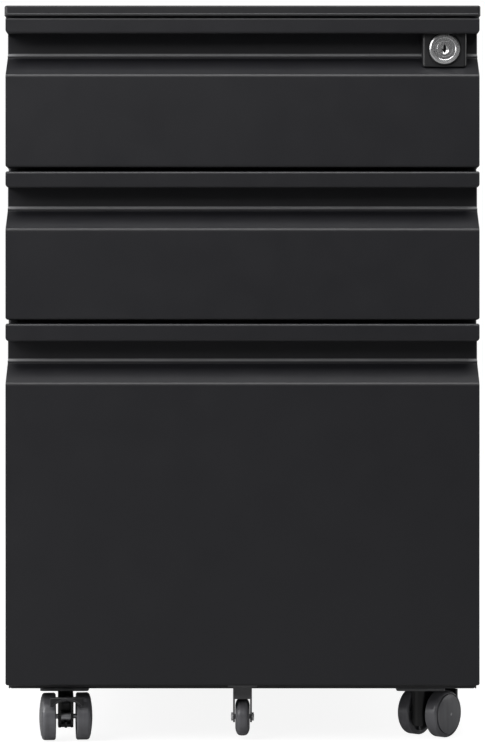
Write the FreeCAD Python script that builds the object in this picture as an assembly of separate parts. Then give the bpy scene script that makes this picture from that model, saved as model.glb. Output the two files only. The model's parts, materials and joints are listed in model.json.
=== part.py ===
import FreeCAD, Part
import math
import os

"""Rolling pedestal cabinet: two box drawers and one file drawer in a folded steel case, on four
twin-wheel casters, with an anti-tip wheel under the file drawer and one lock for all drawers.

Millimetres, +Z up, origin on the floor under the middle of the footprint. The drawers open
towards -Y, and +X is the right-hand side as seen from the front."""

os.makedirs("parts", exist_ok=True)
V = FreeCAD.Vector
SIDES = (-1.0, 1.0)

# ------------------------------------------------------------------ driving dimensions
H_TOTAL = 605.0                  # floor to top surface
DEPTH = 500.0                    # front of top to its back
W_TOP = 390.0                    # top panel width
T = 1.0                          # case and drawer sheet
TOP_X = W_TOP / 2                # half widths of the top and of the body inside its rim
BODY_X = TOP_X - T
OPENING_X = 184.5                # half width of the case opening
UPRIGHT_X = 184.0                # inside face of the slotted uprights
FACE_Y = -249.0                  # drawer front plane
CASE_Y = FACE_Y + 25.4           # front plane of the case
BACK_Y = DEPTH / 2 - T           # outer face of the case at the back
BACK_PANEL_Y = BACK_Y - 2 * T    # inner face of the back panel
PANEL_TOP = H_TOTAL - T          # top of the case panels
BASE_Z = 42.5                    # underside of the base
BASE_H = 16.0                    # height of the base pan

RECESS = 22.0                    # depth of the finger recess
RECESS_H = 15.1                  # open height under the pull lip
STEP = 3.0                       # how far the short upright stands forward of the recess wall
STEP_H = 3.2                     # height of that upright
INNER_Y = FACE_Y + RECESS + T    # front of the inner front
TRAY_Y0 = INNER_Y + T + 0.1      # back of the inner front, where the drawer box starts
TRAY_Y1 = 222.0                  # back end of the drawer box
TRAY_X = 171.2                   # outside of the drawer box, half width
DRAWER_BACK_Y = TRAY_Y1 - 12.0   # centre plane of the drawer back's sheet

# front_z, tray_z: bottom and top of the front and of the drawer box; slide_z: centre of the
# slides; catch_z: underside of the lock catch; lip: height of the pull lip; slope: height of the
# sloping face; back_drop: top fold of the drawer back below the tray's top
DRAWERS = [
    dict(front_z=(472.5, 595.3), tray_z=(476.0, 552.0), slide_z=504.0, catch_z=534.0,
         lip=13.3, slope=19.3, back_drop=8.0, has_lock=True),
    dict(front_z=(347.7, 469.3), tray_z=(353.0, 429.0), slide_z=381.0, catch_z=411.0,
         lip=13.5, slope=19.3, back_drop=8.0, has_lock=False),
    dict(front_z=(48.2, 344.6), tray_z=(62.0, 302.0), slide_z=130.0, catch_z=282.0,
         lip=14.6, slope=19.9, back_drop=20.0, has_lock=False),
]
FILE_DRAWER = DRAWERS[2]

SCREW_X, SCREW_Y = 15.0, 9.5     # half pitches of the screws in each caster plate
SCREW_PLACES = [(x, y) for x in (-SCREW_X, SCREW_X) for y in (-SCREW_Y, SCREW_Y)]
SCREW_HOLE_R = 2.05
CASTER_X, CASTER_Y = 148.0, 208.0
# place, trail direction in degrees from +X, and whether it has a brake
CASTERS = {
    "fl": (-CASTER_X, -CASTER_Y, -84.0, True),
    "fr": (CASTER_X, -CASTER_Y, 50.5, True),
    "rl": (-CASTER_X, CASTER_Y, -70.0, False),
    "rr": (CASTER_X, CASTER_Y, -112.0, False),
}


# ------------------------------------------------------------------ helpers
def save(name, shape):
    """Writes one solid, or a list of solids as a compound."""
    if isinstance(shape, list):
        shape = Part.makeCompound(shape)
    shape.exportStep("parts/%s.step" % name)


def at(axis, level, a, b):
    """Point at level along axis; a and b are its other two coordinates, in x, y, z order."""
    return V(*{"x": (level, a, b), "y": (a, level, b), "z": (a, b, level)}[axis])


def box(x0, x1, y0, y1, z0, z1):
    """Box between two limits on each axis, given in either order."""
    x0, x1 = sorted((x0, x1))
    z0, z1 = sorted((z0, z1))
    return Part.makeBox(x1 - x0, y1 - y0, z1 - z0, V(x0, y0, z0))


def cyl(axis, radius, a, b, start, end):
    """Cylinder along axis, centred on a, b in the other two coordinates."""
    start, end = sorted((start, end))
    return Part.makeCylinder(radius, end - start, at(axis, start, a, b), at(axis, 1, 0, 0))


def polygon_face(points):
    return Part.Face(Part.makePolygon(points + [points[0]]))


def prism(axis, outline, start, end):
    """Polygon in the plane across axis, extruded from start to end."""
    start, end = sorted((start, end))
    face = polygon_face([at(axis, start, a, b) for a, b in outline])
    return face.extrude(at(axis, end - start, 0, 0))


def unit(a, b):
    length = math.hypot(a, b)
    return (a / length, b / length)


def shifted(point, direction, distance):
    return (point[0] + direction[0] * distance, point[1] + direction[1] * distance)


def sheet(axis, line, inner_radii, start, end, thickness=T):
    """Folded strip with centre line through 2D points, extruded along axis.

    inner_radii is one inside bend radius, or a list with one per bend."""
    if not isinstance(inner_radii, list):
        inner_radii = [inner_radii] * (len(line) - 2)
    dirs = [unit(b[0] - a[0], b[1] - a[1]) for a, b in zip(line, line[1:])]
    to_centres = []              # bend centre from the centre line, positive to the left
    trims = [0.0]                # length each bend takes off the flats beside it
    for before, after, inner in zip(dirs, dirs[1:], inner_radii):
        turn = math.atan2(before[0] * after[1] - before[1] * after[0],
                          before[0] * after[0] + before[1] * after[1])
        bend_radius = inner + thickness / 2
        to_centres.append(math.copysign(bend_radius, turn))
        trims.append(bend_radius * math.tan(abs(turn) / 2))
    trims.append(0.0)
    flats = []                   # start, end and left-hand normal of each flat
    for i, along in enumerate(dirs):
        flats.append((shifted(line[i], along, trims[i]),
                      shifted(line[i + 1], along, -trims[i + 1]), (-along[1], along[0])))

    def surface(offset):
        """One side of the strip: two points for each flat, three for each bend."""
        runs = []
        for i, (flat_start, flat_end, normal) in enumerate(flats):
            corner = shifted(flat_end, normal, offset)
            runs.append((shifted(flat_start, normal, offset), corner))
            if i + 1 < len(flats):
                centre = shifted(flat_end, normal, to_centres[i])
                bend_end = shifted(flats[i + 1][0], flats[i + 1][2], offset)
                radius = math.hypot(corner[0] - centre[0], corner[1] - centre[1])
                outward = unit(corner[0] + bend_end[0] - 2 * centre[0],
                               corner[1] + bend_end[1] - 2 * centre[1])
                runs.append((corner, shifted(centre, outward, radius), bend_end))
        return runs

    left = surface(thickness / 2)
    right = [run[::-1] for run in reversed(surface(-thickness / 2))]
    runs = left + [(left[-1][-1], right[0][0])] + right + [(right[-1][-1], left[0][0])]
    edges = []
    for run in runs:
        points = [at(axis, start, a, b) for a, b in run]
        edges.append(Part.makeLine(*points) if len(run) == 2 else Part.Arc(*points).toShape())
    return Part.Face(Part.Wire(edges)).extrude(at(axis, end - start, 0, 0))


def mirror_x(shape):
    return shape.mirror(V(0, 0, 0), V(1, 0, 0))


def one(shape):
    """The single solid of a boolean result."""
    return shape.removeSplitter().Solids[0]


def fillet(shape, radius, test):
    return shape.makeFillet(radius, [edge for edge in shape.Edges if test(edge)])


def vertical(edge):
    a, b = edge.Vertexes[0].Point, edge.Vertexes[-1].Point
    return len(edge.Vertexes) == 2 and abs(a.x - b.x) < 1e-6 and abs(a.y - b.y) < 1e-6


def at_height(z):
    """Test for edges that lie at height z."""
    return lambda edge: all(abs(v.Point.z - z) < 1e-6 for v in edge.Vertexes)


# ------------------------------------------------------------------ case
def side_panel():
    """Right-hand side: front flange with a return, and a flange at the back."""
    return_x, panel_x = OPENING_X + T / 2, BODY_X - T / 2
    line = [(return_x, CASE_Y + 6.4), (return_x, CASE_Y + T / 2), (panel_x, CASE_Y + T / 2),
            (panel_x, BACK_Y - T / 2), (BODY_X - 14.0, BACK_Y - T / 2)]
    panel = sheet("z", line, [0.8, 1.2, 1.2], BASE_Z, PANEL_TOP)
    # the base pan's front corner goes where the front flange is cut away
    for x1, y1 in ((BODY_X - T, CASE_Y + 12), (BODY_X + 1, CASE_Y + T + 1.2)):
        panel = panel.cut(box(180, x1, CASE_Y - 1, y1, BASE_Z - 1, BASE_Z + BASE_H + 0.4))
    return one(panel)


def back_panel():
    """Flat back with two forward-pressed stiffening ribs, closed at their ends."""
    side_gap, rib_x = 1.4, 150.0
    panel_x = BODY_X - T - side_gap
    flat_y, crest_y = BACK_Y - 1.5 * T, BACK_Y - 3.5 * T
    panel = box(-panel_x, panel_x, BACK_PANEL_Y, BACK_Y - T, BASE_Z, PANEL_TOP)
    for z in (190.0, 420.0):
        line = [(flat_y, z - 12), (flat_y, z - 6), (crest_y, z - 3),
                (crest_y, z + 3), (flat_y, z + 6), (flat_y, z + 12)]
        rib = sheet("x", line, 0.6, -rib_x, rib_x)
        panel = panel.cut(box(-rib_x, rib_x, BACK_Y - 3 * T, BACK_Y, z - 6, z + 6)).fuse(rib)
        for side in SIDES:
            panel = panel.fuse(box(side * rib_x, side * (rib_x + T), BACK_Y - 4 * T, BACK_Y - T,
                                   z - 4.2, z + 4.2))
    return one(panel)


def top_panel():
    """Tray-shaped top, open below, with a round bead along the foot of its front edge."""
    edge_height = 8.0
    bead_proud, bead_radius = 0.8, 1.35
    z0, z1 = H_TOTAL - edge_height, H_TOTAL
    y0, y1 = -DEPTH / 2 + bead_proud, DEPTH / 2
    panel = fillet(box(-TOP_X, TOP_X, y0, y1, z0, z1), 3.0, vertical)
    panel = fillet(panel, 1.6, at_height(z1))
    cavity = box(-TOP_X + T, TOP_X - T, y0 + T, y1 - T, z0 - 1, z1 - T)
    cavity = fillet(cavity, 2.0, vertical)
    # the front return closes the underside back to the case
    front_return = box(-TOP_X, TOP_X, -DEPTH / 2, CASE_Y, z0 - 2, z0 + T)
    panel = panel.cut(cavity.cut(front_return))
    bead_x, bead_y, bead_z = TOP_X - 2.6, -DEPTH / 2 + bead_radius, z0 + 0.3
    bead = cyl("x", bead_radius, bead_y, bead_z, -bead_x, bead_x)
    for side in SIDES:
        bead = bead.fuse(Part.makeSphere(bead_radius, V(side * bead_x, bead_y, bead_z)))
    return one(panel.fuse(bead))


def base_panel():
    """Open-topped pan with screw and stem holes for the casters."""
    x1, y0, y1 = BODY_X - T, CASE_Y, BACK_PANEL_Y
    stem_hole_radius = 5.0
    pan = fillet(box(-x1, x1, y0, y1, BASE_Z, BASE_Z + BASE_H), 1.6, vertical)
    pan = fillet(pan, 1.8, at_height(BASE_Z))
    pan = pan.cut(box(-x1 + T, x1 - T, y0 + T, y1 - T, BASE_Z + T, BASE_Z + BASE_H + 1))
    for x, y, _, _ in CASTERS.values():
        for dx, dy in SCREW_PLACES:
            pan = pan.cut(cyl("z", SCREW_HOLE_R, x + dx, y + dy, BASE_Z - 1, BASE_Z + 2))
        pan = pan.cut(cyl("z", stem_hole_radius, x, y, BASE_Z - 1, BASE_Z + 2))
    return one(pan)


def front_rails():
    """Channels across the front: below the top, and between the drawers."""
    front_y, flange_y = CASE_Y + T / 2, CASE_Y + 14
    rails = []
    for z0, z1 in ((584.0, PANEL_TOP), (454.5, 473.5), (331.5, 350.5)):
        low, high = z0 + T / 2, z1 - T / 2
        line = [(flange_y, low), (front_y, low), (front_y, high), (flange_y, high)]
        rails.append(sheet("x", line, 0.8, -OPENING_X, OPENING_X))
    return rails


def slide_uprights():
    """Slotted hat-section uprights that carry the slides."""
    wall_x, crest_x = BODY_X - 1.5 * T, UPRIGHT_X + T / 2
    z0, z1 = BASE_Z + BASE_H + 1.0, 590.0
    uprights = []
    for y in (-172.0, 186.0):
        line = [(wall_x, y - 22), (wall_x, y - 13), (crest_x, y - 13),
                (crest_x, y + 13), (wall_x, y + 13), (wall_x, y + 22)]
        upright = sheet("z", line, 0.6, z0, z1)
        for drawer in DRAWERS:
            for dz in (-40.0, 40.0):
                z = drawer["slide_z"] + dz
                upright = upright.cut(box(180, UPRIGHT_X + T + 0.5, y - 1.5, y + 1.5,
                                          z - 6, z + 6))
        upright = one(upright)
        uprights += [upright, mirror_x(upright)]
    return uprights


right_side = side_panel()
save("right_side_panel", right_side)
save("left_side_panel", mirror_x(right_side))
save("back_panel", back_panel())
save("top_panel", top_panel())
save("base_panel", base_panel())
save("front_cross_rails", front_rails())
save("slide_uprights", slide_uprights())

# ------------------------------------------------------------------ slides, right-hand side
# three-part, ball bearing, 45 mm high
SLIDE_T = 1.2
SLIDE_Y0, SLIDE_Y1 = -218.0, 228.0


def slide_channel(z, web_x, flange_x, half_height, y0, y1):
    """Channel with the centre of its web at web_x and its flanges reaching to flange_x."""
    low, high = z - half_height + SLIDE_T / 2, z + half_height - SLIDE_T / 2
    line = [(flange_x, low), (web_x, low), (web_x, high), (flange_x, high)]
    return sheet("y", line, 0.7, y0, y1, SLIDE_T)


def slide_outer(z):
    channel = slide_channel(z, UPRIGHT_X - SLIDE_T / 2, 174.6, 22.5, SLIDE_Y0, SLIDE_Y1)
    for y in (SLIDE_Y0 + 20, SLIDE_Y1 - 30):
        channel = channel.cut(box(170, 185, y, y + 8, z - 5, z + 5))
    return one(channel)


def slide_middle(z):
    channel = slide_channel(z, 181.0, 173.6, 17.3, SLIDE_Y0 + 2, SLIDE_Y1 - 6)
    return one(channel.cut(box(170, 185, SLIDE_Y1 - 30, SLIDE_Y1 - 24, z - 4, z + 4)))


def slide_inner(z):
    return one(slide_channel(z, TRAY_X + SLIDE_T / 2, 179.4, 12.3, SLIDE_Y0 + 1, TRAY_Y1 - 2))


def ball_rows(slide_z):
    """Four rows of balls, each joined by its flat retainer strip."""
    ball_count = 8
    rows = []
    # height from the slide's centre, x, ball radius, and ends of the strip
    for dz, x, radius, y0, y1 in ((19.3, 177.6, 1.9, 6.0, 214.0),
                                  (14.2, 176.2, 1.8, -211.0, -6.0)):
        for side in SIDES:
            z = slide_z + side * dz
            row = box(x - 2.6, x + 2.6, y0, y1, z - 0.4, z + 0.4)
            for i in range(ball_count):
                y = y0 + 10 + (y1 - y0 - 20) * i / (ball_count - 1)
                row = row.fuse(Part.makeSphere(radius, V(x, y, z)))
            rows.append(one(row))
    return rows


outers = []
for number, drawer in enumerate(DRAWERS, 1):
    z = drawer["slide_z"]
    outer, middle, inner, balls = slide_outer(z), slide_middle(z), slide_inner(z), ball_rows(z)
    outers += [outer, mirror_x(outer)]
    save("drawer_%d_slide_middle" % number, [middle, mirror_x(middle)])
    save("drawer_%d_slide_inner" % number, [inner, mirror_x(inner)])
    save("drawer_%d_slide_balls" % number, balls + [mirror_x(row) for row in balls])
save("slide_outer_members", outers)

# ------------------------------------------------------------------ drawers
LOCK_X, LOCK_Z = 165.9, 570.1
LOCK_HOLE_R = 9.2                # hole for the barrel in the drawer sheets


def front_levels(drawer):
    """Heights: bottom, foot of the slope, floor of the recess, underside of the lip, top."""
    bottom, top = drawer["front_z"]
    lip_z = top - drawer["lip"]
    recess_z = lip_z - RECESS_H
    slope_z = recess_z - drawer["slope"]
    return bottom, slope_z, recess_z, lip_z, top


def drawer_front(drawer):
    """Outer skin: face, slope, short upright, finger recess and pull lip, from one sheet."""
    bottom, slope_z, recess_z, lip_z, top = front_levels(drawer)
    half = T / 2
    step_y, wall_y = RECESS - STEP, RECESS
    step_z = recess_z - STEP_H
    # y back from the face, z
    line = [(17.0, bottom + half), (half, bottom + half), (half, slope_z),
            (step_y + half, step_z), (step_y + half, recess_z - half),
            (wall_y + half, recess_z - half), (wall_y + half, top - half),
            (half, top - half), (half, lip_z + half), (3.1, lip_z + half), (3.1, lip_z + 7.5)]
    skin = sheet("x", [(FACE_Y + y, z) for y, z in line],
                 [1.0, 3.0, 0.8, 0.9, 0.9, 0.8, 1.4, 0.7, 0.7], -BODY_X, BODY_X)
    # side returns close the hollows behind the face and the lip
    cheek = [(0.5, bottom + 0.5), (0.5, slope_z), (step_y + 0.5, step_z),
             (step_y + 0.5, recess_z - 1.4), (step_y + 1.4, recess_z - 0.5),
             (wall_y + 0.5, recess_z - 0.5), (wall_y + 0.5, bottom + 0.5)]
    for side in SIDES:
        x0, x1 = side * BODY_X, side * (BODY_X - T)
        skin = skin.fuse(prism("x", [(FACE_Y + y, z) for y, z in cheek], x0, x1))
        skin = skin.fuse(box(x0, x1, FACE_Y + 0.5, FACE_Y + wall_y + 0.5,
                             lip_z + 0.5, top - 0.5))
    # rounded corners, seen from the front: edge height, way into the sheet, radius
    for side in SIDES:
        for z, inward, radius in ((lip_z, 1.0, 3.2), (top, -1.0, 1.6), (bottom, 1.0, 2.0)):
            centre_x, centre_z = side * (BODY_X - radius), z + inward * radius
            corner = box(centre_x, side * (BODY_X + 1), FACE_Y - 1, FACE_Y + RECESS - 0.01,
                         centre_z, z - inward)
            corner = corner.cut(cyl("y", radius, centre_x, centre_z,
                                    FACE_Y - 2, FACE_Y + RECESS + 2))
            skin = skin.cut(corner)
    if drawer["has_lock"]:
        skin = skin.cut(cyl("y", LOCK_HOLE_R, LOCK_X, LOCK_Z, FACE_Y + 10, FACE_Y + RECESS + 2))
    return one(skin)


def inner_front(drawer):
    """Plate behind the skin, with a lower flange that reaches forward inside it."""
    bottom, top = drawer["front_z"]
    z0 = bottom + 2.0
    plate = box(-BODY_X + 3, BODY_X - 3, INNER_Y, TRAY_Y0, z0, top - 1.0)
    plate = fillet(plate, 3.0,
                   lambda e: abs(e.Vertexes[0].Point.y - e.Vertexes[-1].Point.y) > 0.5)
    plate = plate.fuse(box(-BODY_X + 6, BODY_X - 6, INNER_Y - 12, INNER_Y + 0.5, z0, z0 + T))
    if drawer["has_lock"]:
        plate = plate.cut(cyl("y", LOCK_HOLE_R, LOCK_X, LOCK_Z, INNER_Y - 1, INNER_Y + 3))
    return one(plate)


def tray(drawer):
    """Bottom and sides in one sheet, with folded top edges, and the lock catch on the right."""
    z0, z1 = drawer["tray_z"]
    half = T / 2
    wall_x, hem = TRAY_X - half, 6.0
    right = [(wall_x, z0 + half), (wall_x, z1 - half), (wall_x - hem, z1 - half),
             (wall_x - hem, z1 - hem)]
    line = [(-x, z) for x, z in reversed(right)] + right
    folded = sheet("y", line, [0.8, 0.8, 1.5, 1.5, 0.8, 0.8], TRAY_Y0, TRAY_Y1)
    z = drawer["catch_z"]
    catch = box(TRAY_X - 0.5, 183.0, -210.4, -208.4, z, z + 12.0)
    gusset = box(TRAY_X - 0.5, 176.0, -208.4, -196.4, z + 2.0, z + 4.0)
    return one(folded.fuse(catch).fuse(gusset))


def drawer_back(drawer):
    """Back of the drawer box, flanged forward at top and bottom, with side returns."""
    tray_bottom, tray_top = drawer["tray_z"]
    x, y = TRAY_X - T - 0.1, DRAWER_BACK_Y
    floor_z, top_z = tray_bottom + T, tray_top - drawer["back_drop"]
    line = [(y - 9.0, floor_z + T / 2), (y, floor_z + T / 2), (y, top_z), (y - 7.0, top_z)]
    panel = sheet("x", line, 0.8, -x, x)
    for side in SIDES:
        panel = panel.fuse(box(side * x, side * (x - T), y - 10.0, y + 0.3,
                               floor_z + 2.0, top_z - 2.0))
        # notch at the lower corner
        panel = panel.cut(box(side * (x + 1), side * (x - 1.8), y - 12.0, y + 2.0,
                              tray_bottom, floor_z + 1.8))
    return one(panel)


def file_rails():
    """Hanging-file bars, each with a foot on the inner front and a hook over the back."""
    bar_x, bar_width = 160.5, 2.5
    seat_y, back_y = TRAY_Y0, DRAWER_BACK_Y
    top = FILE_DRAWER["tray_z"][1] - 10.0
    hook_z = top - 10.0 + T / 2
    outline = [(seat_y, top - 16.0), (seat_y, top), (back_y + 4.0, top),
               (back_y + 4.0, top - 18.0), (back_y + 0.6, top - 18.0), (back_y + 0.6, hook_z),
               (back_y - 8.2, hook_z), (back_y - 8.2, top - 16.0)]
    bars = []
    for side in SIDES:
        x0 = side * bar_x - bar_width / 2
        x1 = x0 + bar_width
        foot = box(x0 - 5.0, x1 + 5.0, seat_y, seat_y + 1.5, top - 16.0, top)
        bars.append(one(prism("x", outline, x0, x1).fuse(foot)))
    return bars


for number, drawer in enumerate(DRAWERS, 1):
    save("drawer_%d_front" % number, drawer_front(drawer))
    save("drawer_%d_inner_front" % number, inner_front(drawer))
    save("drawer_%d_tray" % number, tray(drawer))
    save("drawer_%d_back" % number, drawer_back(drawer))
save("file_rails", file_rails())

# ------------------------------------------------------------------ lock, on the top drawer
HOUSING_X0, HOUSING_X1 = 147.9, 183.9
HOUSING_Y = FACE_Y + 6.8         # front of the housing
DISH_Y = HOUSING_Y + 1.6         # floor of the round dish in the housing
BEZEL_Y = FACE_Y + 4.6           # front of the barrel
BARREL_Y1 = FACE_Y + 39.0
BARREL_R = 9.0
CAM_Y0, CAM_Y1 = FACE_Y + 41.5, FACE_Y + 44.0
DRIVE = 3.5                      # half width of the square drive
COS_45 = math.cos(math.radians(45.0))
PIN_CRANK = 8.5                  # crank radius of the cam's pin
PIN_X = LOCK_X + PIN_CRANK * COS_45
PIN_Z = LOCK_Z + PIN_CRANK * COS_45


def lock_cyl(radius, y0, y1, dx=0.0):
    """Cylinder on the lock's axis, or dx to the right of it."""
    return cyl("y", radius, LOCK_X + dx, LOCK_Z, y0, y1)


def lock_housing():
    """Block that fills the recess around the barrel and sits on the slope."""
    _, slope_z, recess_z, _, top = front_levels(DRAWERS[0])
    step_y = RECESS - STEP
    slope = (recess_z - STEP_H - slope_z) / step_y
    lift = T / 2 * math.sqrt(1 + slope * slope) + 0.2

    def slope_height(y):
        """Underside of the housing at y, just clear of the sloping sheet."""
        return slope_z + (y - FACE_Y - T / 2) * slope + lift

    back_y, heel_y = FACE_Y + RECESS, FACE_Y + step_y - 0.25
    outline = [(HOUSING_Y, slope_height(HOUSING_Y)), (heel_y, slope_height(heel_y) + 0.3),
               (heel_y, recess_z + 0.3), (back_y - 1.3, recess_z + 0.3),
               (back_y, recess_z + 1.6), (back_y, top - 3.0), (HOUSING_Y, top - 3.0)]
    body = prism("x", outline, HOUSING_X0, HOUSING_X1)

    def on_face(edge):
        return abs(edge.CenterOfMass.y - HOUSING_Y) < 1e-6

    def long_in_x(edge):
        ends = edge.Vertexes
        return len(ends) == 2 and abs(ends[0].Point.x - ends[-1].Point.x) > 20.0

    # the sides roll into the face further than its top and bottom do
    body = fillet(body, 2.4, lambda e: vertical(e) and on_face(e))
    body = fillet(body, 1.2, lambda e: long_in_x(e) and on_face(e))
    body = body.cut(lock_cyl(14.0, FACE_Y + 2, DISH_Y))
    return one(body.cut(lock_cyl(BARREL_R + 0.05, FACE_Y + 2, FACE_Y + 30)))


def lock_barrel():
    """Domed bezel and plain round body."""
    # radius, y
    profile = [
        (6.75, BEZEL_Y + 0.5), (8.2, BEZEL_Y + 0.5), (8.2, BEZEL_Y + 1.1), (8.8, BEZEL_Y + 1.1),
        (8.8, BEZEL_Y + 0.45), (9.3, BEZEL_Y + 0.1), (11.4, BEZEL_Y), (12.3, BEZEL_Y + 0.5),
        (12.7, BEZEL_Y + 1.3), (12.7, DISH_Y), (BARREL_R, DISH_Y), (BARREL_R, BARREL_Y1),
        (6.55, BARREL_Y1), (6.55, BEZEL_Y + 0.9)]
    face = polygon_face([V(LOCK_X + radius, y, LOCK_Z) for radius, y in profile])
    return one(face.revolve(V(LOCK_X, 0, LOCK_Z), V(0, 1, 0), 360))


def lock_nut():
    """Hexagon nut against the back of the inner front."""
    corner_radius, thickness = 12.5, 4.5
    angles = [math.radians(60 * k + 30) for k in range(6)]
    hexagon = [(LOCK_X + corner_radius * math.cos(a), LOCK_Z + corner_radius * math.sin(a))
               for a in angles]
    nut = prism("y", hexagon, TRAY_Y0, TRAY_Y0 + thickness)
    return one(nut.cut(lock_cyl(BARREL_R, TRAY_Y0 - 1, TRAY_Y0 + 6)))


def lock_core():
    """Core with its keyway in front and a square drive behind."""
    front_y = BEZEL_Y + 0.5
    core = lock_cyl(6.5, front_y, CAM_Y0)
    core = fillet(core, 0.5, lambda e: abs(e.CenterOfMass.y - front_y) < 1e-3)
    key_y0, key_y1 = BEZEL_Y - 1, BEZEL_Y + 24
    oval = lock_cyl(6.5, key_y0, key_y1, -5.2).common(lock_cyl(6.5, key_y0, key_y1, 5.2))
    dish = Part.makeCone(3.5, 1.3, 1.0, V(LOCK_X, BEZEL_Y + 0.4, LOCK_Z - 1.0), V(0, 1, 0))
    ring = lock_cyl(5.7, BEZEL_Y + 0.4, BEZEL_Y + 0.9).cut(lock_cyl(5.2, BEZEL_Y, BEZEL_Y + 2))
    ward = box(LOCK_X - 1.9, LOCK_X - 0.5, key_y0, key_y1, LOCK_Z - 1.4, LOCK_Z - 0.3)
    core = one(core.cut(oval.fuse(dish).fuse(ring)).cut(ward))
    drive = box(LOCK_X - DRIVE, LOCK_X + DRIVE, CAM_Y0 - 0.5, CAM_Y1 + 0.5,
                LOCK_Z - DRIVE, LOCK_Z + DRIVE)
    return one(core.fuse(drive))


def lock_cam():
    """Tapered cam at 45 degrees, with a pin that reaches back into the lock bar's slot."""
    disc = lock_cyl(7.0, CAM_Y0, CAM_Y1)
    lobe = cyl("y", 3.4, PIN_X, PIN_Z, CAM_Y0, CAM_Y1)
    root, tip = 5.0 * COS_45, 3.3 * COS_45       # half widths of the arm, along x and z
    arm = prism("y", [(LOCK_X - root, LOCK_Z + root), (LOCK_X + root, LOCK_Z - root),
                      (PIN_X + tip, PIN_Z - tip), (PIN_X - tip, PIN_Z + tip)], CAM_Y0, CAM_Y1)
    pin = cyl("y", 2.0, PIN_X, PIN_Z, CAM_Y0, FACE_Y + 51.0)
    cam = disc.fuse(lobe).fuse(arm).fuse(pin)
    return one(cam.cut(box(LOCK_X - DRIVE, LOCK_X + DRIVE, CAM_Y0 - 1, CAM_Y1 + 1,
                           LOCK_Z - DRIVE, LOCK_Z + DRIVE)))


BAR_X0, BAR_X1 = 186.0, 188.5
BAR_Y0, BAR_Y1 = -215.0, -201.0


def lock_bar():
    """Upright bar that drops to put a hook in front of each drawer's catch."""
    bar = box(BAR_X0, BAR_X1, BAR_Y0, BAR_Y1, 72.0, 584.0)
    bar = fillet(bar, 2.0, lambda e: abs(e.Vertexes[0].Point.x - e.Vertexes[-1].Point.x) > 1.0)
    joint_x = BAR_X0 + 0.5
    for drawer in DRAWERS:
        z = drawer["catch_z"]
        bar = bar.fuse(box(174.0, joint_x, -214.4, -212.0, z + 14.0, z + 24.0))
        bar = bar.fuse(box(183.9, joint_x, -214.4, -206.0, z + 17.0, z + 19.0))
    # slotted arm round the cam's pin
    arm_y0, arm_y1 = FACE_Y + 46.0, FACE_Y + 48.0
    arm = box(164.6, joint_x, arm_y0, arm_y1, PIN_Z - 5.0, PIN_Z + 5.0)
    slot = box(PIN_X - 3.4, PIN_X + 5.6, arm_y0 - 1, arm_y1 + 1, PIN_Z - 2.35, PIN_Z + 2.35)
    return one(bar.fuse(arm.cut(slot)))


def lock_bar_guides():
    height, gap = 18.0, 0.25
    guides = []
    for z in (90.0, 500.0):
        guide = box(184.7, BODY_X - T, -216.8, -199.2, z, z + height)
        guides.append(one(guide.cut(box(BAR_X0 - gap, BAR_X1 + gap, BAR_Y0 - gap, BAR_Y1 + gap,
                                        z - 1, z + height + 1))))
    return guides


save("lock_housing", lock_housing())
save("lock_barrel", lock_barrel())
save("lock_nut", lock_nut())
save("lock_core", lock_core())
save("lock_cam", lock_cam())
save("lock_bar", lock_bar())
save("lock_bar_guides", lock_bar_guides())

# ------------------------------------------------------------------ anti-tip wheel
TIP_T = 1.5                      # bracket sheet
TIP_X = 7.8                      # outside of the bracket's cheeks, half width
TIP_Y, TIP_Z = FACE_Y + 33.0, 18.4
TIP_AXLE_R = 2.0


def anti_tip_bracket():
    """Tab under the file drawer's front, a plate down from it, and two cheeks for the axle."""
    top = FILE_DRAWER["front_z"][0]
    tab_z = top - TIP_T
    plate_y1 = FACE_Y + 21.0
    plate_y0 = plate_y1 - TIP_T
    tab = fillet(box(-12.0, 12.0, FACE_Y + 3.0, plate_y1, tab_z, top), 2.0, vertical)
    bracket = tab.fuse(box(-TIP_X, TIP_X, plate_y0, plate_y1, 34.6, top - 0.5))
    cheek = [(plate_y0, top - 0.5), (plate_y0, 34.0), (TIP_Y - 5.6, TIP_Z - 1.0),
             (TIP_Y - 3.0, TIP_Z - 4.4), (TIP_Y + 3.0, TIP_Z - 4.4), (TIP_Y + 5.6, TIP_Z - 1.0),
             (TIP_Y + 6.5, 37.0), (TIP_Y + 4.0, 40.6), (FACE_Y + 23.4, 40.6),
             (FACE_Y + 22.6, 41.8), (FACE_Y + 22.6, top - 0.5)]
    for side in SIDES:
        # the plate flares into the tab
        flare_x, flare_z = side * 10.6, tab_z - 3.0
        flare = box(side * 7.6, flare_x, plate_y0, plate_y1, flare_z, tab_z + 0.3)
        bracket = bracket.fuse(flare.cut(cyl("y", 2.8, flare_x, flare_z,
                                             FACE_Y + 19, FACE_Y + 22)))
        bore = cyl("x", TIP_AXLE_R, TIP_Y, TIP_Z, side * (TIP_X + 1), side * (TIP_X - TIP_T - 1))
        bracket = bracket.fuse(prism("x", cheek, side * TIP_X, side * (TIP_X - TIP_T)).cut(bore))
    return one(bracket)


def anti_tip_axle():
    axle = cyl("x", TIP_AXLE_R, TIP_Y, TIP_Z, -9.6, 9.6)
    for side in SIDES:
        axle = axle.fuse(cyl("x", 3.4, TIP_Y, TIP_Z, side * (TIP_X + 0.05), side * 9.4))
    return one(axle)


def anti_tip_wheel():
    # half profile from the bore to the tread: x, radius
    half = [(6.0, 2.05), (6.0, 5.0), (5.0, 5.0), (5.0, 8.6), (6.0, 9.4),
            (5.7, 11.4), (4.9, 13.4), (3.7, 14.9), (2.4, 15.5), (1.0, 15.7)]
    profile = [(-x, radius) for x, radius in half] + half[::-1]
    face = polygon_face([V(x, TIP_Y, TIP_Z + radius) for x, radius in profile])
    return one(face.revolve(V(0, TIP_Y, TIP_Z), V(1, 0, 0), 360))


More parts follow.
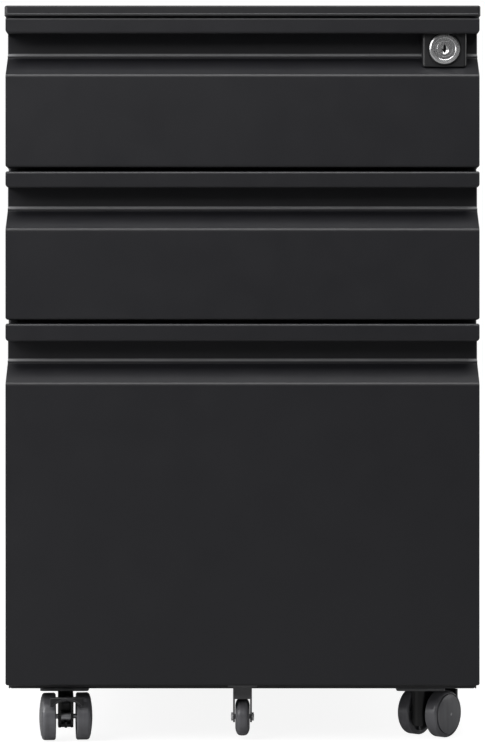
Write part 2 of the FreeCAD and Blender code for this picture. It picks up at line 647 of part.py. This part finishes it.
save("anti_tip_bracket", anti_tip_bracket())
save("anti_tip_axle", anti_tip_axle())
save("anti_tip_wheel", anti_tip_wheel())

# ------------------------------------------------------------------ casters
# Local frame: the stem is on the Z axis, +X is the trail direction, and Y the axle's.
PLATE_X, PLATE_Y = 20.0, 14.6            # half size of each plate
PLATE_Z = BASE_Z - 2.2                   # underside of each plate
TRAIL = 14.0                             # axle behind the stem
WHEEL_R = 19.5
WHEEL_IN, WHEEL_OUT = 8.5, 22.0          # inner and outer face of each wheel
WHEEL_REST = 1.0                         # turn of each wheel on its axle, degrees
AXLE_R = 2.0
PIVOT_X, PIVOT_Z = 15.6, 32.6            # brake lever pivot


def place(shape, x, y, angle=0):
    """Turns a shape about the stem and moves it to its caster's place."""
    shape.rotate(V(0, 0, 0), V(0, 0, 1), angle)
    shape.translate(V(x, y, 0))
    return shape


def caster_plate():
    """Plate with its stem, collar and countersunk screw holes."""
    plate = box(-PLATE_X, PLATE_X, -PLATE_Y, PLATE_Y, PLATE_Z, BASE_Z)
    plate = fillet(plate, 3.0, vertical)
    for radius, z0, z1 in ((5.4, PLATE_Z - 0.6, BASE_Z - 1), (4.0, 23.0, BASE_Z),
                           (4.8, BASE_Z - 0.5, BASE_Z + 2.4)):
        plate = plate.fuse(cyl("z", radius, 0, 0, z0, z1))
    for x, y in SCREW_PLACES:
        plate = plate.cut(cyl("z", SCREW_HOLE_R, x, y, 38, 50))
        plate = plate.cut(Part.makeCone(4.0, 2.0, 2.0, V(x, y, PLATE_Z), V(0, 0, 1)))
    return one(plate)


def caster_screw(x, y):
    """Countersunk screw, head down, with a cross slot."""
    head = Part.makeCone(3.95, 1.95, 2.0, V(x, y, PLATE_Z), V(0, 0, 1))
    screw = head.fuse(cyl("z", 1.95, x, y, PLATE_Z + 1.9, BASE_Z + 7.0))
    for dx, dy in ((2.2, 0.4), (0.4, 2.2)):
        screw = screw.cut(box(x - dx, x + dx, y - dy, y + dy, 38, PLATE_Z + 1.0))
    return one(screw)


def caster_body(brake):
    """Body between the wheels: socket on the stem, two ears for the axle, a rib between."""
    half_width, ear_width = 6.2, 2.2
    top, low = PLATE_Z - 0.9, 10.2
    body = cyl("z", half_width, 0, 0, low, top)
    body = body.fuse(box(0, 6.5, -half_width, half_width, low, top))
    # x, z
    ear = [(2.0, top), (10.0, top), (17.5, 37.4), (20.4, 34.0), (19.0, 27.0), (20.0, 20.0),
           (18.6, 14.0), (15.0, low), (2.0, low)]
    for side in SIDES:
        body = body.fuse(prism("y", ear, side * half_width, side * (half_width - ear_width)))
    body = body.fuse(box(5.0, 16.8, -1.0, 1.0, low, 14.9))
    body = body.fuse(box(2.0, 13.0, -half_width, half_width, low, 12.8))
    body = body.cut(cyl("z", 4.05, 0, 0, 22.0, 60.0))
    body = body.cut(cyl("y", AXLE_R, TRAIL, WHEEL_R, -20, 20))
    if brake:
        body = body.cut(cyl("y", 1.6, PIVOT_X, PIVOT_Z, -20, 20))
    return one(body)


def caster_axle():
    """Axle with a thicker middle between the ears."""
    axle = cyl("y", AXLE_R, TRAIL, WHEEL_R, -20.5, 20.5)
    return one(axle.fuse(cyl("y", 3.4, TRAIL, WHEEL_R, -3.9, 3.9)))


def caster_wheel(side):
    """Flat tread, rounded shoulder, domed outer face, dished inner face, blind bore."""
    inner, outer = WHEEL_IN, WHEEL_OUT
    dome_y, dome_radius = outer - 1.7, WHEEL_R - 3.2
    # (y, radius) from the middle of the bore round to the tread's outer edge
    inside = [(outer - 1.2, 0.0), (outer - 1.2, 2.05), (inner + 0.4, 2.05), (inner + 0.4, 4.8),
              (inner + 4.0, 4.8), (inner + 4.0, 16.2), (inner, 16.2), (inner, WHEEL_R - 1.0),
              (inner + 1.0, WHEEL_R), (outer - 5.0, WHEEL_R)]
    # groove between the shoulder and the dome
    groove = [(outer - 2.2, WHEEL_R - 1.9), (outer - 3.2, WHEEL_R - 2.2),
              (outer - 3.2, WHEEL_R - 2.9), (dome_y, dome_radius)]
    # the dome is part of a sphere centred on the axle
    centre = (outer ** 2 - dome_y ** 2 - dome_radius ** 2) / (2.0 * (outer - dome_y))
    middle_radius = 8.6
    middle_y = centre + math.sqrt((outer - centre) ** 2 - middle_radius ** 2)

    def point(place_2d):
        y, radius = place_2d
        return V(TRAIL, y * side, WHEEL_R + radius)

    def lines(places):
        return [Part.makeLine(point(a), point(b)) for a, b in zip(places, places[1:])]

    def arc(*places):
        return [Part.Arc(*[point(p) for p in places]).toShape()]

    edges = lines(inside)
    edges += arc(inside[-1], (outer - 3.1, WHEEL_R - 0.62), groove[0])
    edges += lines(groove)
    edges += arc(groove[-1], (middle_y, middle_radius), (outer, 0.0))
    edges += lines([(outer, 0.0), inside[0]])
    axle_point, axle_dir = V(TRAIL, 0, WHEEL_R), V(0, 1, 0)
    wheel = Part.Face(Part.Wire(edges)).revolve(axle_point, axle_dir, 360)
    # the profile runs the other way round on one side, which can turn the solid inside out
    if wheel.Volume < 0:
        wheel.reverse()
    # eight ribs inside the dish
    for k in range(8):
        y0, y1 = sorted((side * (inner + 1.6), side * (inner + 4.5)))
        rib = box(4.4, 16.6, y0, y1, -0.6, 0.6)
        rib.rotate(V(0, 0, 0), axle_dir, 45.0 * k)
        rib.translate(axle_point)
        wheel = wheel.fuse(rib)
    wheel.rotate(axle_point, axle_dir, WHEEL_REST)
    return one(wheel)


def brake_lever():
    """Pedal across the back of both wheels, on an arm between the ears."""
    # x, z
    outline = [(12.6, 35.4), (15.0, 36.6), (26.0, 37.2), (35.4, 37.4), (35.4, 34.6),
               (27.0, 34.2), (19.6, 32.4), (17.6, 29.8), (14.6, 29.4), (12.4, 31.2)]
    arm = prism("y", outline, -2.6, 2.6)
    pin = cyl("y", 1.55, PIVOT_X, PIVOT_Z, -6.6, 6.6)
    pedal_x, pedal_z0, pedal_z1 = 37.0, 30.4, 38.0
    pedal = box(33.4, pedal_x, -13.6, 13.6, pedal_z0, pedal_z1)
    pedal = fillet(pedal, 1.4, lambda e: all(v.Point.x > pedal_x - 0.1 for v in e.Vertexes))
    # arched lower edge with a raised rim round it, and a small hole above
    arch_radius, arch_z = 15.0, 20.4
    pedal = pedal.cut(cyl("x", arch_radius, 0, arch_z, 20, 40))
    rim = cyl("x", 16.3, 0, arch_z, 36.6, 37.9).cut(cyl("x", arch_radius, 0, arch_z, 36, 39))
    rim = rim.common(box(36.0, 39.0, -13.2, 13.2, pedal_z0, pedal_z1))
    pedal = pedal.fuse(rim).cut(cyl("x", 1.1, 0, 35.2, 20, 40))
    return one(arm.fuse(pin).fuse(pedal))


plates, screws = [], []
for name, (x, y, angle, brake) in CASTERS.items():
    plates.append(place(caster_plate(), x, y))
    screws += [place(caster_screw(dx, dy), x, y) for dx, dy in SCREW_PLACES]
    pieces = {"body": caster_body(brake), "axle": caster_axle(),
              "wheel_a": caster_wheel(-1.0), "wheel_b": caster_wheel(1.0)}
    if brake:
        pieces["brake_lever"] = brake_lever()
    for piece, shape in pieces.items():
        save("caster_%s_%s" % (name, piece), place(shape, x, y, angle))
save("caster_plates", plates)
save("caster_screws", screws)
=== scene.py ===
"""A drawer cabinet on casters: its finishes, eased edges, floor, lights and camera.

Metres, +Z up. The cabinet stands on z = 0 about the origin, with its drawer fronts facing -Y,
its left side at -X and its right side at +X as the camera sees it.
"""
import json
import math

import bpy
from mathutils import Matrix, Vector


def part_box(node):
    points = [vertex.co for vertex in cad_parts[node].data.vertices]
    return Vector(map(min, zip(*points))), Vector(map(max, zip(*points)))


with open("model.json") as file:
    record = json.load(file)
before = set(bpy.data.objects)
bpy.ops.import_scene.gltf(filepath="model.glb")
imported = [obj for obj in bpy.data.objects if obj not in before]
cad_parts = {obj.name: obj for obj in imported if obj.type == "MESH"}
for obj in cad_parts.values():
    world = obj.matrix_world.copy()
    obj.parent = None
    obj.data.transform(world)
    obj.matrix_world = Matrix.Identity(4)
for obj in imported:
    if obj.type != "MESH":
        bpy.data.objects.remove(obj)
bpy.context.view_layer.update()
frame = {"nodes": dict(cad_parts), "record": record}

NODES = frame["nodes"]
SLOT = {part["node"]: part["material_slot"] for part in frame["record"]["subparts"]}


# ------------------------------------------------------------------ shader helpers
def new_material(name):
    """An empty material with one Principled shader. Returns material, node tree and shader."""
    material = bpy.data.materials.new(name)
    material.use_nodes = True
    tree = material.node_tree
    tree.nodes.clear()
    output = tree.nodes.new("ShaderNodeOutputMaterial")
    shader = tree.nodes.new("ShaderNodeBsdfPrincipled")
    tree.links.new(shader.outputs[0], output.inputs[0])
    return material, tree, shader


def feed(tree, socket, value):
    """Link a socket to another, or set it to a number or an RGB colour."""
    if isinstance(value, bpy.types.NodeSocket):
        tree.links.new(value, socket)
    elif isinstance(value, tuple):
        socket.default_value = (*value, 1)
    else:
        socket.default_value = value


def calc(tree, operation, first, second=None):
    node = tree.nodes.new("ShaderNodeMath")
    node.operation = operation
    feed(tree, node.inputs[0], first)
    if second is not None:
        feed(tree, node.inputs[1], second)
    return node.outputs[0]


def remap(tree, value, to_min, to_max, from_min=0.3, from_max=0.7):
    """Clamped linear remap. The default source range is the useful span of a noise."""
    node = tree.nodes.new("ShaderNodeMapRange")
    feed(tree, node.inputs["From Min"], from_min)
    feed(tree, node.inputs["From Max"], from_max)
    feed(tree, node.inputs["To Min"], to_min)
    feed(tree, node.inputs["To Max"], to_max)
    feed(tree, node.inputs["Value"], value)
    return node.outputs[0]


def noise(tree, vector, scale, detail=4.0, roughness=0.55):
    node = tree.nodes.new("ShaderNodeTexNoise")
    node.inputs["Scale"].default_value = scale
    node.inputs["Detail"].default_value = detail
    node.inputs["Roughness"].default_value = roughness
    tree.links.new(vector, node.inputs["Vector"])
    return node.outputs[0]


def mix(tree, factor, colour_a, colour_b):
    node = tree.nodes.new("ShaderNodeMix")
    node.data_type = "RGBA"
    # the colour sockets of a Mix node are inputs 6 and 7, and its colour result is output 2
    feed(tree, node.inputs[6], colour_a)
    feed(tree, node.inputs[7], colour_b)
    feed(tree, node.inputs[0], factor)
    return node.outputs[2]


def stretched_coords(tree, stretch):
    """Object coordinates, scaled per axis: a small factor draws the texture out along it."""
    coords = tree.nodes.new("ShaderNodeTexCoord")
    mapping = tree.nodes.new("ShaderNodeMapping")
    mapping.inputs["Scale"].default_value = stretch
    tree.links.new(coords.outputs["Object"], mapping.inputs["Vector"])
    return mapping.outputs[0]


def edge_mask(tree, radius):
    """1 along sharp edges, 0 on flats: how far the rounded normal leaves the true one."""
    bevel = tree.nodes.new("ShaderNodeBevel")
    bevel.samples = 4
    bevel.inputs["Radius"].default_value = radius
    geometry = tree.nodes.new("ShaderNodeNewGeometry")
    dot = tree.nodes.new("ShaderNodeVectorMath")
    dot.operation = "DOT_PRODUCT"
    tree.links.new(bevel.outputs[0], dot.inputs[0])
    tree.links.new(geometry.outputs["Normal"], dot.inputs[1])
    departure = calc(tree, "SUBTRACT", 1.0, dot.outputs["Value"])
    return remap(tree, departure, 0.0, 1.0, from_min=0.002, from_max=0.06)


def painted_highlight_mask(tree, bands, behind_y):
    """Mask of a painted highlight: 1 along level bands, each a height and a half width, and
    only behind a given y.
    """
    coords = tree.nodes.new("ShaderNodeTexCoord")
    place = tree.nodes.new("ShaderNodeSeparateXYZ")
    tree.links.new(coords.outputs["Object"], place.inputs[0])
    in_bands = None
    for height, half_width in bands:
        distance = calc(tree, "ABSOLUTE", calc(tree, "SUBTRACT", place.outputs["Z"], height))
        band = remap(tree, distance, 1.0, 0.0, from_min=0.35 * half_width, from_max=half_width)
        in_bands = calc(tree, "MAXIMUM", in_bands, band) if in_bands else band
    behind = remap(tree, place.outputs["Y"], 0.0, 1.0,
                   from_min=behind_y, from_max=behind_y + 0.001)
    return calc(tree, "MULTIPLY", in_bands, behind)


def camera_switch(tree, for_others, for_camera):
    """A value that differs between what the camera sees and what lights the cabinet."""
    path = tree.nodes.new("ShaderNodeLightPath")
    return remap(tree, path.outputs["Is Camera Ray"], for_others, for_camera,
                 from_min=0.0, from_max=1.0)


# ------------------------------------------------------------------ finishes
WEAR_RADIUS = 0.0006    # reach of edge wear
GRAIN_DEPTH = 0.00008   # bump height of the surface grain


def finish_material(name, *, base, alt, rough, wear, metallic=0.0, grain=900.0,
                    grain_strength=0.12, stretch=(1, 1, 1), wear_amount=0.35, coat=0.0,
                    painted_highlight=None, uneven=0.05, streak=1.16):
    """A finish with tonal drift, uneven roughness, fine surface grain and worn edges.

    base, alt      the two colours it drifts between; streak is the brightening of its mottle
    rough, uneven  mean roughness and its swing either way
    grain          scale of the grain noise, with its bump strength and per-axis stretch
    wear           colour of worn edges, at most wear_amount of it
    painted_highlight  bands, behind_y and colour of a highlight painted along level bands
    """
    material, tree, shader = new_material(name)
    vector = stretched_coords(tree, stretch)

    drift = remap(tree, noise(tree, vector, scale=7.0, detail=3.0), 0.0, 1.0)
    mottle = remap(tree, noise(tree, vector, scale=grain * 0.35, detail=2.0), 0.0, 0.55)
    colour = mix(tree, drift, base, alt)
    colour = mix(tree, mottle, colour, tuple(c * streak for c in base))

    patches = remap(tree, noise(tree, vector, scale=60.0), 0.0, wear_amount)
    worn = calc(tree, "MULTIPLY", edge_mask(tree, WEAR_RADIUS), patches)
    colour = mix(tree, worn, colour, wear)
    # a painted highlight: a light band along the folds, standing in for the light they catch
    if painted_highlight:
        patches = remap(tree, noise(tree, vector, scale=24.0, detail=3.0), 0.8, 1.0)
        highlighted_band = calc(tree, "MULTIPLY", painted_highlight_mask(tree, painted_highlight["bands"], painted_highlight["behind_y"]), patches)
        colour = mix(tree, highlighted_band, colour, painted_highlight["colour"])
    feed(tree, shader.inputs["Base Color"], colour)

    roughness = remap(tree, noise(tree, vector, scale=38.0, detail=5.0),
                      rough - uneven, rough + uneven)
    feed(tree, shader.inputs["Roughness"], roughness)
    shader.inputs["Metallic"].default_value = metallic
    if coat:
        shader.inputs["Coat Weight"].default_value = coat
        shader.inputs["Coat Roughness"].default_value = 0.25

    bump = tree.nodes.new("ShaderNodeBump")
    bump.inputs["Strength"].default_value = grain_strength
    bump.inputs["Distance"].default_value = GRAIN_DEPTH
    feed(tree, bump.inputs["Height"],
         noise(tree, vector, scale=grain, detail=3.0, roughness=0.6))
    feed(tree, shader.inputs["Normal"], bump.outputs[0])
    return material


# a painted highlight: a light band along the fold below each finger recess, where the fold
# catches light
FOLD_PAINTED_HIGHLIGHT = dict(
    bands=[(0.5669, 0.0015), (0.4407, 0.0015), (0.3149, 0.0014)],  # height, half width
    behind_y=-0.2325, colour=(0.360, 0.360, 0.370))

POWDER_COAT = dict(rough=0.42, grain=1300, grain_strength=0.16, wear=(0.10, 0.10, 0.11))

FINISHES = {
    "black_powder_coat": dict(
        base=(0.0160, 0.0160, 0.0180), alt=(0.0182, 0.0182, 0.0204), uneven=0.02,
        **POWDER_COAT),
    "drawer_front_coat": dict(
        base=(0.0118, 0.0118, 0.0144), alt=(0.0136, 0.0136, 0.0164), uneven=0.025,
        painted_highlight=FOLD_PAINTED_HIGHLIGHT, **POWDER_COAT),
    "slide_steel": dict(
        base=(0.50, 0.51, 0.53), alt=(0.60, 0.61, 0.63), rough=0.34, metallic=0.90,
        grain=500, stretch=(1, 0.06, 1), wear=(0.75, 0.75, 0.77)),
    "bearing_steel": dict(
        base=(0.60, 0.60, 0.62), alt=(0.68, 0.68, 0.70), rough=0.24, metallic=0.92,
        grain=800, wear=(0.8, 0.8, 0.8)),
    "plated_steel": dict(
        base=(0.46, 0.46, 0.48), alt=(0.55, 0.55, 0.57), rough=0.38, metallic=0.85,
        grain=650, wear=(0.7, 0.7, 0.72)),
    "lock_chrome": dict(
        base=(0.62, 0.62, 0.63), alt=(0.72, 0.72, 0.73), rough=0.25, metallic=0.88,
        grain=1500, grain_strength=0.05, wear=(0.9, 0.9, 0.9)),
    "lock_plastic": dict(
        base=(0.016, 0.016, 0.0175), alt=(0.019, 0.019, 0.021), rough=0.38,
        grain=1600, wear=(0.10, 0.10, 0.11)),
    "caster_plastic": dict(
        base=(0.0045, 0.0045, 0.005), alt=(0.007, 0.007, 0.0078), rough=0.36,
        grain=1100, wear=(0.07, 0.07, 0.075)),
    "wheel_nylon": dict(
        base=(0.110, 0.110, 0.119), alt=(0.150, 0.150, 0.161), rough=0.30,
        grain=700, stretch=(1, 0.10, 0.10), streak=1.9, wear=(0.24, 0.24, 0.25), coat=0.35),
    "pedal_plastic": dict(
        base=(0.016, 0.016, 0.0175), alt=(0.022, 0.022, 0.024), rough=0.34,
        grain=1000, wear=(0.20, 0.20, 0.21), wear_amount=0.6),
    # near-white and barely metallic: a painted glint on the ends of the steel axle
    "rivet_painted_glint": dict(
        base=(0.78, 0.78, 0.79), alt=(0.86, 0.86, 0.87), rough=0.36, metallic=0.10,
        grain=800, wear=(0.75, 0.75, 0.76)),
    "grey_bracket": dict(
        base=(0.105, 0.105, 0.110), alt=(0.125, 0.125, 0.130), rough=0.40,
        grain=1000, wear=(0.16, 0.16, 0.17)),
}


def finish_name(node):
    """The finish of a piece: its recorded slot, but for three kinds of piece."""
    if node.endswith("_front") and not node.endswith("inner_front"):
        return "drawer_front_coat"
    if node.endswith("_brake_lever"):
        return "pedal_plastic"
    # the ends of the axle carry a painted glint
    if node == "anti_tip_axle":
        return "rivet_painted_glint"
    return SLOT[node]


materials = {name: finish_material(name, **values) for name, values in FINISHES.items()}
for name, obj in NODES.items():
    material = materials[finish_name(name)]
    if not obj.material_slots:
        obj.data.materials.append(material)
    for slot in obj.material_slots:
        slot.link = "OBJECT"
        slot.material = material


# ------------------------------------------------------------------ eased edges
MOULDED_EASE = 0.00035
PLATE_EASE = 0.0003
SHEET_EASE = 0.0002
NAMED_EASE = {
    "lock_housing": MOULDED_EASE,
    "anti_tip_bracket": PLATE_EASE,
    "caster_plates": PLATE_EASE,
    "base_panel": SHEET_EASE,
    "top_panel": SHEET_EASE,
}


def ease_width(node):
    """Width of a piece's edge round, or None where its edges stay sharp."""
    if node.endswith(("_body", "_brake_lever")):
        return MOULDED_EASE
    if node.startswith("drawer_") and node.endswith(("_front", "_back")):
        return SHEET_EASE
    return NAMED_EASE.get(node)


def ease_edges(obj, width):
    """A small round that catches the light, on welded vertices so that faces meet."""
    weld = obj.modifiers.new("join", "WELD")
    weld.merge_threshold = 0.000005
    bevel = obj.modifiers.new("ease", "BEVEL")
    bevel.width = width
    bevel.segments = 2
    bevel.limit_method = "ANGLE"
    bevel.angle_limit = math.radians(42)
    bevel.use_clamp_overlap = True
    shade = obj.modifiers.new("shade", "WEIGHTED_NORMAL")
    shade.keep_sharp = False
    shade.weight = 60


for name, obj in NODES.items():
    width = ease_width(name)
    if width:
        ease_edges(obj, width)


# ------------------------------------------------------------------ floor and world
FLOOR_SIZE = 14.0
FLOOR_Z = -0.0005        # just under the wheels
FLOOR_BOUNCE = 0.04      # floor glow that reaches the cabinet
WORLD_STRENGTH = 0.018   # surround that the cabinet reflects


def add_floor():
    """A pale floor that runs out to white away from the cabinet."""
    half = FLOOR_SIZE / 2
    corners = [(-half, -half, 0), (half, -half, 0), (half, half, 0), (-half, half, 0)]
    mesh = bpy.data.meshes.new("floor")
    mesh.from_pydata(corners, [], [(0, 1, 2, 3)])
    floor = bpy.data.objects.new("floor", mesh)
    floor.location = (0, 0, FLOOR_Z)
    bpy.context.scene.collection.objects.link(floor)

    material, tree, shader = new_material("floor_pale")
    shader.inputs["Base Color"].default_value = (0.34, 0.34, 0.34, 1)
    shader.inputs["Roughness"].default_value = 0.9
    shader.inputs["Specular IOR Level"].default_value = 0.1
    shader.inputs["Emission Color"].default_value = (1, 1, 1, 1)
    coords = tree.nodes.new("ShaderNodeTexCoord")
    radius = tree.nodes.new("ShaderNodeVectorMath")
    radius.operation = "LENGTH"
    tree.links.new(coords.outputs["Object"], radius.inputs[0])
    fade = remap(tree, radius.outputs["Value"], 0.90, 1.0, from_min=0.25, from_max=1.1)
    feed(tree, shader.inputs["Emission Strength"], camera_switch(tree, FLOOR_BOUNCE, fade))
    floor.data.materials.append(material)


def add_world():
    """A white surround for the camera, and a dim one for what the cabinet reflects."""
    world = bpy.data.worlds.new("studio")
    world.use_nodes = True
    tree = world.node_tree
    background = tree.nodes["Background"]
    background.inputs[0].default_value = (1, 1, 1, 1)
    feed(tree, background.inputs[1], camera_switch(tree, WORLD_STRENGTH, 1.0))
    bpy.context.scene.world = world


add_floor()
add_world()


# ------------------------------------------------------------------ lights
REAR_POWER = 12.0
SIDE_POWER = 12.0

# name, location, target, width and height, watts
LIGHTS = [
    ("key", (-1.7, -2.0, 1.7), (0, -0.2, 0.35), (1.2, 1.2), 25.0),
    ("keylow", (-2.0, -1.0, 0.9), (0, -0.2, 0.5), (0.7, 0.7), 9.0),
    ("left", (-2.3, -1.3, 0.5), (0, -0.2, 0.3), (0.8, 1.6), 4.0),
    ("right", (2.3, -1.3, 0.5), (0, -0.2, 0.3), (0.8, 1.6), 1.0),
    ("top", (0, -0.95, 2.2), (0, -0.2, 0.4), (2.2, 0.9), 36.0),
    ("front", (0, -3.4, 1.75), (0, -0.2, 0.3), (1.6, 0.7), 4.0),
    ("fronthigh", (0, -3.0, 2.4), (0, -0.2, 0.4), (2.0, 0.8), 4.0),
    ("rear_left", (-1.8, 2.2, 1.5), (0, 0.2, 0.3), (1.2, 1.2), REAR_POWER),
    ("rear_right", (1.8, 2.0, 1.2), (0, 0.2, 0.3), (1.2, 1.2), REAR_POWER * 0.7),
    # the side lamps stand well behind the fronts, so they light only the sides
    ("side_left", (-2.6, 0.5, 0.9), (0, 0.1, 0.3), (1.2, 1.2), SIDE_POWER),
    ("side_right", (2.6, 0.5, 0.9), (0, 0.1, 0.3), (1.2, 1.2), SIDE_POWER),
]

for name, location, target, (width, height), power in LIGHTS:
    light = bpy.data.lights.new(name, "AREA")
    light.shape = "RECTANGLE"
    light.size = width
    light.size_y = height
    light.energy = power
    lamp = bpy.data.objects.new(name, light)
    lamp.location = location
    aim = Vector(target) - Vector(location)
    lamp.rotation_euler = aim.to_track_quat("-Z", "Y").to_euler()
    bpy.context.scene.collection.objects.link(lamp)


# ------------------------------------------------------------------ camera
CAMERA_DISTANCE = 2.0    # from the drawer fronts
CAMERA_HEIGHT = 0.3045

front_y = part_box("drawer_1_front")[0][1]
lens = bpy.data.cameras.new("camera")
lens.lens = 118.1
lens.sensor_width = 36.0
lens.clip_end = 50.0
camera = bpy.data.objects.new("camera", lens)
camera.location = (0.0, front_y - CAMERA_DISTANCE, CAMERA_HEIGHT)
camera.rotation_euler = (math.radians(90), 0, 0)
bpy.context.scene.collection.objects.link(camera)
bpy.context.scene.camera = camera
bpy.context.scene.view_settings.view_transform = "Standard"
